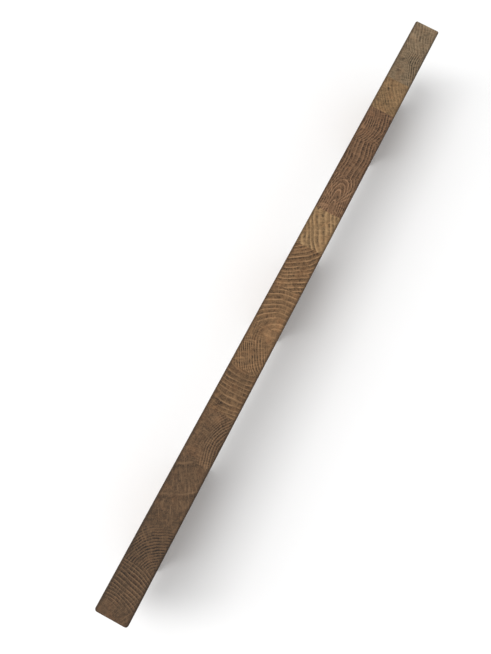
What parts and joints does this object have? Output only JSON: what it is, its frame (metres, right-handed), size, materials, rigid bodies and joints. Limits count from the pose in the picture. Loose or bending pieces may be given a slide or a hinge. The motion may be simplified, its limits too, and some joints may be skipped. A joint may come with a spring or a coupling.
{
  "type": "grab rail",
  "caption": "Straight wooden grab rail of edge-glued end-grain blocks with a flush stainless flat bar underneath, on three bolted feet.",
  "frame": {"origin": "on the deck, under the middle of the rail's length and width", "axes": "+X along the rail from the darkest block's end, +Z away from the deck, up to the end-grain face, +Y across the rail"},
  "size_m": [0.641, 0.027, 0.082],
  "materials": {
    "dark_wood": "dry oiled hardwood end grain, darkest blocks, satin to matt",
    "brown_wood": "dry oiled hardwood end grain, mid-brown blocks, satin to matt",
    "pale_wood": "dry oiled hardwood end grain, palest blocks, satin to matt",
    "foot_wood": "oiled hardwood, grain along the foot, satin",
    "stainless": "brushed marine stainless steel",
    "brass": "machined brass, unpolished",
    "rubber": "black bedding rubber, matt"
  },
  "bodies": {
    "root": {"end_grain_block_01": "dark_wood", "end_grain_block_02": "dark_wood", "end_grain_block_03": "dark_wood", "end_grain_block_04": "dark_wood", "end_grain_block_05": "brown_wood", "end_grain_block_06": "brown_wood", "end_grain_block_07": "brown_wood", "end_grain_block_08": "brown_wood", "end_grain_block_09": "pale_wood", "end_grain_block_10": "brown_wood", "end_grain_block_11": "brown_wood", "end_grain_block_12": "brown_wood", "end_grain_block_13": "pale_wood", "end_grain_block_14": "pale_wood", "end_grain_block_15": "pale_wood", "stiffener_bar": "stainless", "stiffener_screw_1": "stainless", "stiffener_screw_2": "stainless", "stiffener_screw_3": "stainless", "stiffener_screw_4": "stainless", "stiffener_screw_5": "stainless", "stiffener_screw_6": "stainless", "stiffener_screw_7": "stainless", "stiffener_screw_8": "stainless", "stiffener_screw_9": "stainless", "foot_left": "foot_wood", "bedding_pad_left": "rubber", "deck_insert_left": "brass", "foot_bolt_left_a": "stainless", "foot_washer_left_a": "stainless", "bolt_insert_left_a": "brass", "foot_bolt_left_b": "stainless", "foot_washer_left_b": "stainless", "bolt_insert_left_b": "brass", "foot_middle": "foot_wood", "bedding_pad_middle": "rubber", "deck_insert_middle": "brass", "foot_bolt_middle_a": "stainless", "foot_washer_middle_a": "stainless", "bolt_insert_middle_a": "brass", "foot_bolt_middle_b": "stainless", "foot_washer_middle_b": "stainless", "bolt_insert_middle_b": "brass", "foot_right": "foot_wood", "bedding_pad_right": "rubber", "deck_insert_right": "brass", "foot_bolt_right_a": "stainless", "foot_washer_right_a": "stainless", "bolt_insert_right_a": "brass", "foot_bolt_right_b": "stainless", "foot_washer_right_b": "stainless", "bolt_insert_right_b": "brass"}
  },
  "joints": []
}
